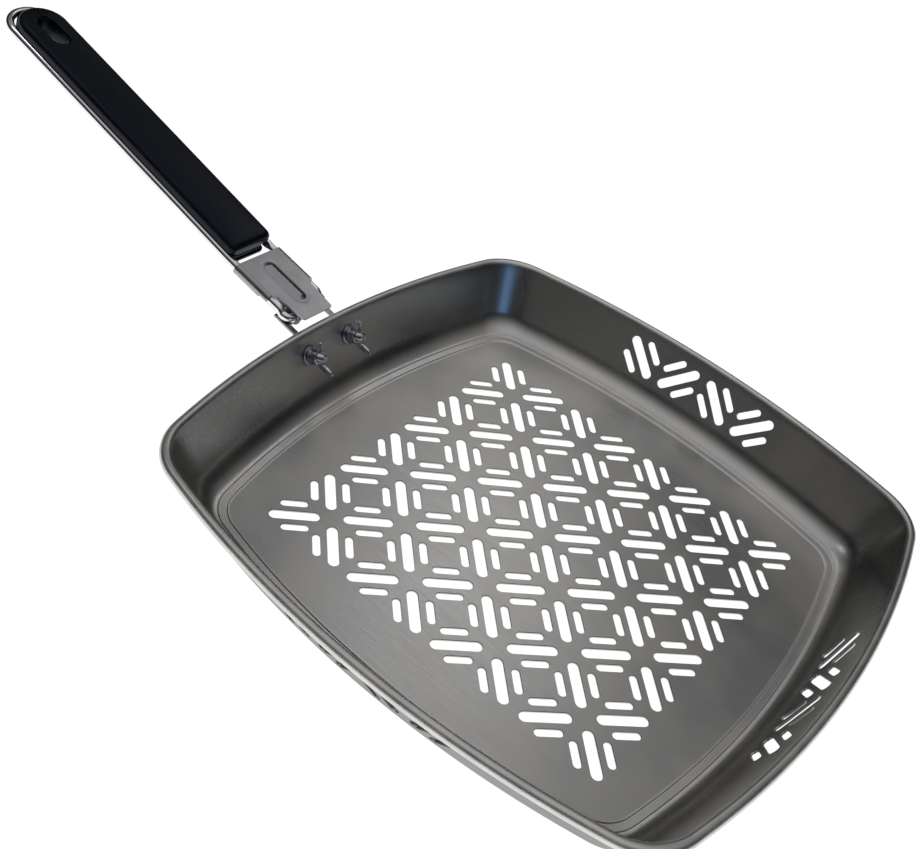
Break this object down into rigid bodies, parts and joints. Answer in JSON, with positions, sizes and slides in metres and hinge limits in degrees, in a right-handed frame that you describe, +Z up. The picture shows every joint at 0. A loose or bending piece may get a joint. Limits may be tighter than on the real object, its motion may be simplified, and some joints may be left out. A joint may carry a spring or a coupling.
{
  "type": "grill basket",
  "caption": "Shallow square perforated steel basket for a grill, with sloping walls, a rolled rim, a folding wire handle with a black grip, and a sliding lock over the rim.",
  "frame": {"origin": "middle of the basket's flat underside", "axes": "+Z up, -X towards the handle, +Y to the left when looking from the handle to the basket"},
  "size_m": [0.5466, 0.3056, 0.0999],
  "materials": {
    "basket_steel": "drawn stainless sheet, softly brushed",
    "bracket_steel": "satin",
    "fastener_steel": "polished",
    "rail_chrome": "bright plated wire",
    "grip_black": "satin black moulding",
    "screw_steel": "zinc plated",
    "slider_steel": "satin stamped sheet"
  },
  "bodies": {
    "basket": {"pan_body": "basket_steel", "hinge_bracket": "bracket_steel", "bolt_left": "fastener_steel", "bolt_right": "fastener_steel", "washer_left": "fastener_steel", "washer_right": "fastener_steel"},
    "handle": {"handle_rail": "rail_chrome", "grip_top": "grip_black", "grip_bottom": "grip_black", "grip_screw_front": "screw_steel", "grip_screw_middle": "screw_steel", "grip_screw_rear": "screw_steel"},
    "lock": {"lock_slider": "slider_steel"},
    "left_nut": {"wing_nut_left": "fastener_steel"},
    "right_nut": {"wing_nut_right": "fastener_steel"}
  },
  "joints": [
    {"name": "handle_fold", "type": "hinge", "parent": "basket", "child": "handle", "pos_m": [-0.1618, -0.0062, 0.03583], "axis": [0, 1, 0], "range_deg": [0, 110]},
    {"name": "lock_slide", "type": "slide", "parent": "handle", "child": "lock", "axis": [0.9823, 0, -0.1874], "range_m": [0, 0.0112]},
    {"name": "wing_nut_left_spin", "type": "hinge", "parent": "basket", "child": "left_nut", "pos_m": [-0.14408, 0.0086, 0.0262], "axis": [0.9336, 0, 0.3584], "continuous": true},
    {"name": "wing_nut_right_spin", "type": "hinge", "parent": "basket", "child": "right_nut", "pos_m": [-0.14408, -0.021, 0.0262], "axis": [0.9336, 0, 0.3584], "continuous": true}
  ]
}
